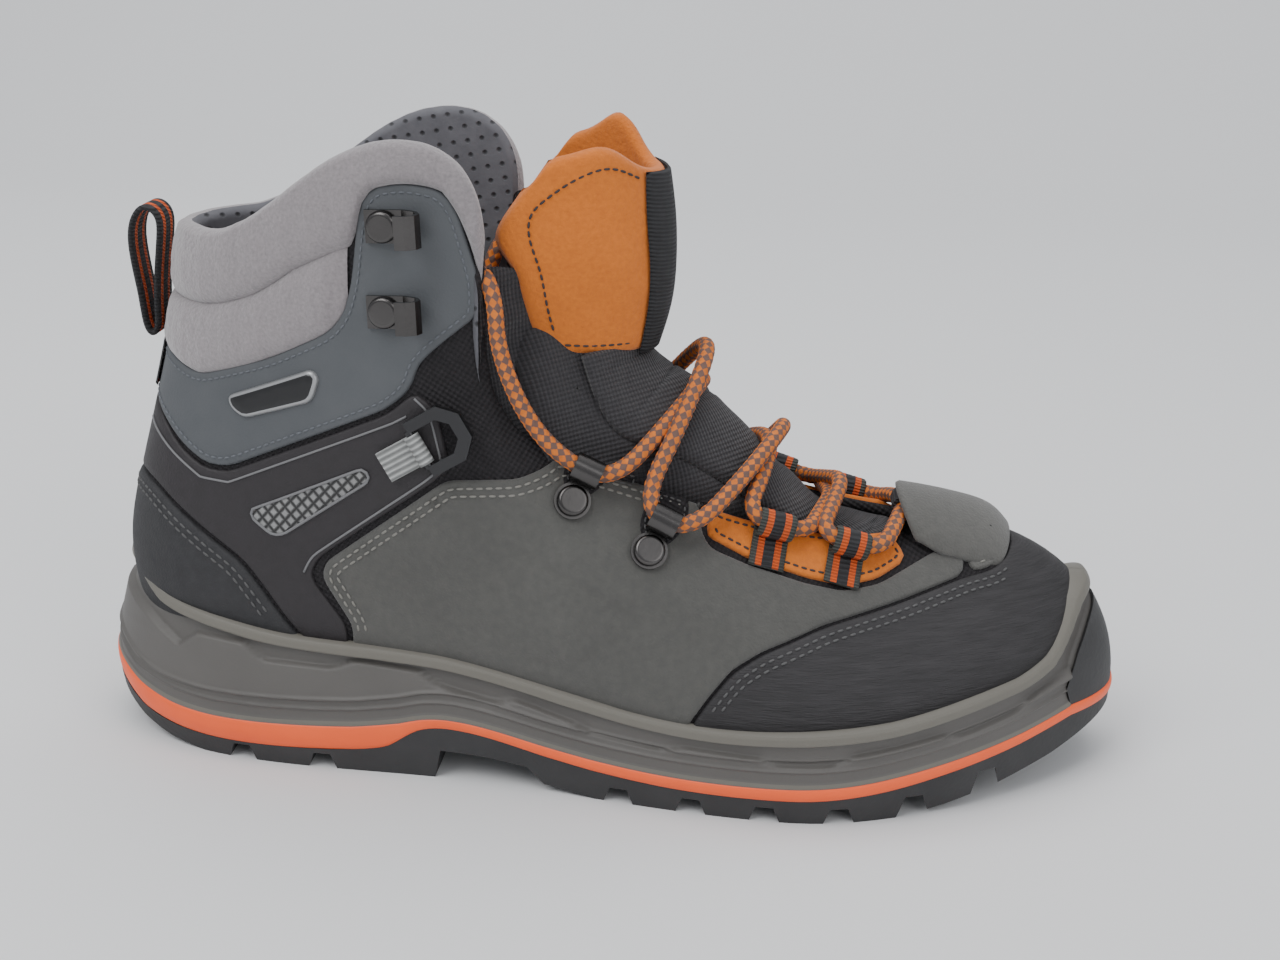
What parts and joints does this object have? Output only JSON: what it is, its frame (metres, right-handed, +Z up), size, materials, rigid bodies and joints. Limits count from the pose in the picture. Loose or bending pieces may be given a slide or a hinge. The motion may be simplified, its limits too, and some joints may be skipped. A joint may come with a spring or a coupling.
{
  "type": "hiking boot",
  "caption": "Right-foot mid-cut hiking boot with a lugged sole, padded collar, flexing tongue, heel pull loop, lace hooks and rings, and a threaded round lace.",
  "frame": {"origin": "centre of the heel tread, on the plane that the boot stands on", "axes": "+X from heel to toe, +Y to the inner side of the foot, +Z up out of the collar"},
  "size_m": [0.3076, 0.1107, 0.1827],
  "materials": {
    "outsole_rubber": "moulded matt",
    "accent_foam": "matt",
    "midsole_foam": "moulded matt",
    "shank_plastic": "matt",
    "board": "fibreboard",
    "footbed_foam": "textile over foam",
    "lining_mesh": "perforated mesh",
    "base_textile": "woven",
    "stiffener": "matt",
    "collar_suede": "padded suede",
    "cuff_leather": "smooth matt",
    "counter_rubber": "matt",
    "rear_synthetic": "matt with grey edge",
    "vent_mesh": "diamond mesh",
    "label": "satin",
    "quarter_suede": "suede",
    "vamp_suede": "suede",
    "toe_rubber": "brushed grooves",
    "stay_suede": "suede",
    "tongue_suede": "padded suede",
    "webbing_dark": "woven webbing",
    "webbing_light": "ribbed webbing",
    "webbing_striped": "woven webbing with stripes",
    "tongue_textile": "padded textile",
    "gunmetal": "gunmetal",
    "lace_cord": "round braid with grey flecks",
    "aglet_plastic": "clear dark"
  },
  "bodies": {
    "boot": {"outsole": "outsole_rubber", "midsole_accent": "accent_foam", "midsole": "midsole_foam", "shank": "shank_plastic", "lasting_board": "board", "footbed": "footbed_foam", "lining": "lining_mesh", "upper_base": "base_textile", "heel_counter_stiffener": "stiffener", "toe_puff": "stiffener", "collar_upper_roll": "collar_suede", "collar_lower_roll": "collar_suede", "cuff_overlay": "cuff_leather", "heel_counter_cover": "counter_rubber", "rear_quarter": "rear_synthetic", "vent_mesh_lateral": "vent_mesh", "vent_mesh_medial": "vent_mesh", "label_plate": "label", "quarter_lateral": "quarter_suede", "quarter_medial": "quarter_suede", "toe_vamp": "vamp_suede", "toe_cap": "toe_rubber", "lace_stay_lateral": "stay_suede", "lace_stay_medial": "stay_suede", "tongue_base": "tongue_textile", "gusset": "tongue_textile", "lace_hooks": "gunmetal", "hook_rivets": "gunmetal", "lace_rings": "gunmetal", "ring_rivets": "gunmetal", "ankle_webbing_lateral": "webbing_light", "ankle_webbing_medial": "webbing_light", "webbing_lace_loops": "webbing_striped", "toe_lace_loop": "quarter_suede", "heel_tab": "webbing_striped", "lace_outer": "lace_cord", "lace_inner": "lace_cord", "aglet_outer": "aglet_plastic", "aglet_inner": "aglet_plastic"},
    "tongue": {"tongue_top": "tongue_suede", "tongue_strip": "webbing_dark"},
    "heel_loop": {"heel_pull_loop": "webbing_striped"},
    "lateral_ring": {"ankle_ring_lateral": "gunmetal"},
    "medial_ring": {"ankle_ring_medial": "gunmetal"}
  },
  "joints": [
    {"name": "tongue_flex", "type": "hinge", "parent": "boot", "child": "tongue", "pos_m": [0.104, -0.0036, 0.121], "axis": [0, 1, 0], "range_deg": [-5, 18]},
    {"name": "heel_loop_swing", "type": "hinge", "parent": "boot", "child": "heel_loop", "pos_m": [-0.0419, 0, 0.1214], "axis": [0, -1, 0], "range_deg": [0, 55]},
    {"name": "lateral_ankle_ring_tip", "type": "hinge", "parent": "boot", "child": "lateral_ring", "pos_m": [0.04591, -0.04487, 0.10215], "axis": [0.5144, -0.0511, -0.856], "range_deg": [0, 60]},
    {"name": "medial_ankle_ring_tip", "type": "hinge", "parent": "boot", "child": "medial_ring", "pos_m": [0.04617, 0.04044, 0.10215], "axis": [-0.515, -0.0138, 0.8571], "range_deg": [0, 60]}
  ]
}
